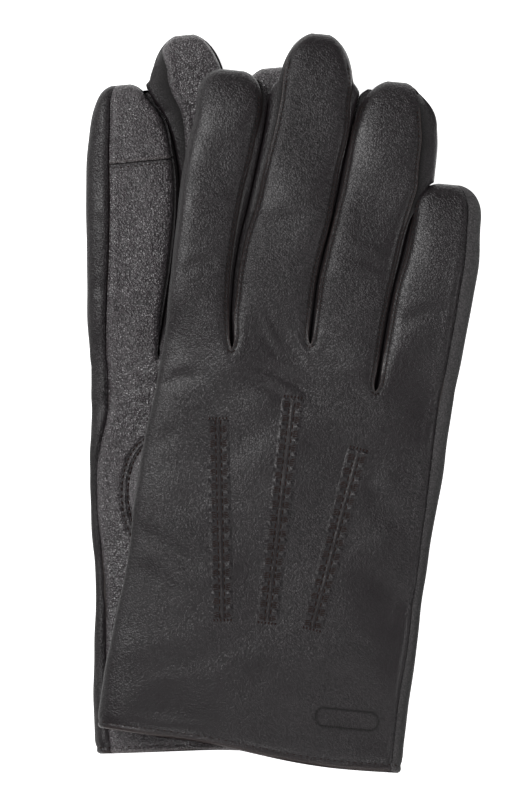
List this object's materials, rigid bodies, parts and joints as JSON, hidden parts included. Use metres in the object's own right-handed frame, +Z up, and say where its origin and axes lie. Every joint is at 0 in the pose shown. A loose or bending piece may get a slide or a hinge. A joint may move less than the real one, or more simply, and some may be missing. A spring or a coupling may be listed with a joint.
{
  "type": "touchscreen gloves",
  "caption": "Pair of lined leather dress gloves with conductive index tips, stacked flat with the thumbs folded in, for keeping hands warm while using a touchscreen",
  "frame": {"origin": "centre of the pair's footprint, on the surface it lies on", "axes": "+Y from the cuffs to the fingertips, +X from the index side to the little-finger side, +Z up from the surface; the lower glove lies palm up and the upper glove back up"},
  "size_m": [0.135, 0.2536, 0.0385],
  "materials": {
    "back_leather": "dark espresso nappa leather, fine grain, soft sheen",
    "palm_leather": "dark brown leather with a coarser pebbled grain",
    "touch_leather": "conductive coated leather, fine pebbled grain",
    "lining_fabric": "dark brown brushed knit lining",
    "stitch_thread": "dark reddish-brown sewing thread"
  },
  "bodies": {
    "left_glove": {"left_back_panel": "back_leather", "left_palm_panel": "palm_leather", "left_lining": "lining_fabric", "left_cuff_hem": "back_leather", "left_touch_tip": "touch_leather", "left_fourchette_index_middle": "back_leather", "left_fourchette_middle_ring": "back_leather", "left_fourchette_ring_little": "back_leather", "left_point_index": "stitch_thread", "left_point_middle": "stitch_thread", "left_point_ring": "stitch_thread"},
    "left_thumb": {"left_thumb": "palm_leather", "left_thumb_lining": "lining_fabric"},
    "right_hand": {"right_back_panel_hand": "back_leather", "right_palm_panel_hand": "palm_leather", "right_lining_hand": "lining_fabric", "right_cuff_hem": "back_leather", "right_point_index": "stitch_thread", "right_point_middle": "stitch_thread", "right_point_ring": "stitch_thread"},
    "right_fingers": {"right_back_panel_fingers": "back_leather", "right_palm_panel_fingers": "palm_leather", "right_lining_fingers": "lining_fabric", "right_touch_tip": "touch_leather", "right_fourchette_index_middle": "back_leather", "right_fourchette_middle_ring": "back_leather", "right_fourchette_ring_little": "back_leather"},
    "right_thumb": {"right_thumb": "palm_leather", "right_thumb_lining": "lining_fabric"}
  },
  "joints": [
    {"name": "left_thumb_swing", "type": "hinge", "parent": "left_glove", "child": "left_thumb", "pos_m": [-0.0417, -0.03319, 0.0152], "axis": [0, 0, 1], "range_deg": [0, 75]},
    {"name": "right_glove_lift", "type": "slide", "parent": "left_glove", "child": "right_hand", "axis": [0, 0, 1], "range_m": [0, 0.12]},
    {"name": "right_finger_fold", "type": "hinge", "parent": "right_hand", "child": "right_fingers", "pos_m": [-0.0004, 0.0027, 0.0385], "axis": [0.9957, -0.0924, 0], "range_deg": [0, 60]},
    {"name": "right_thumb_swing", "type": "hinge", "parent": "right_hand", "child": "right_thumb", "pos_m": [-0.02544, -0.02912, 0.0233], "axis": [0, 0, 1], "range_deg": [0, 75]}
  ]
}
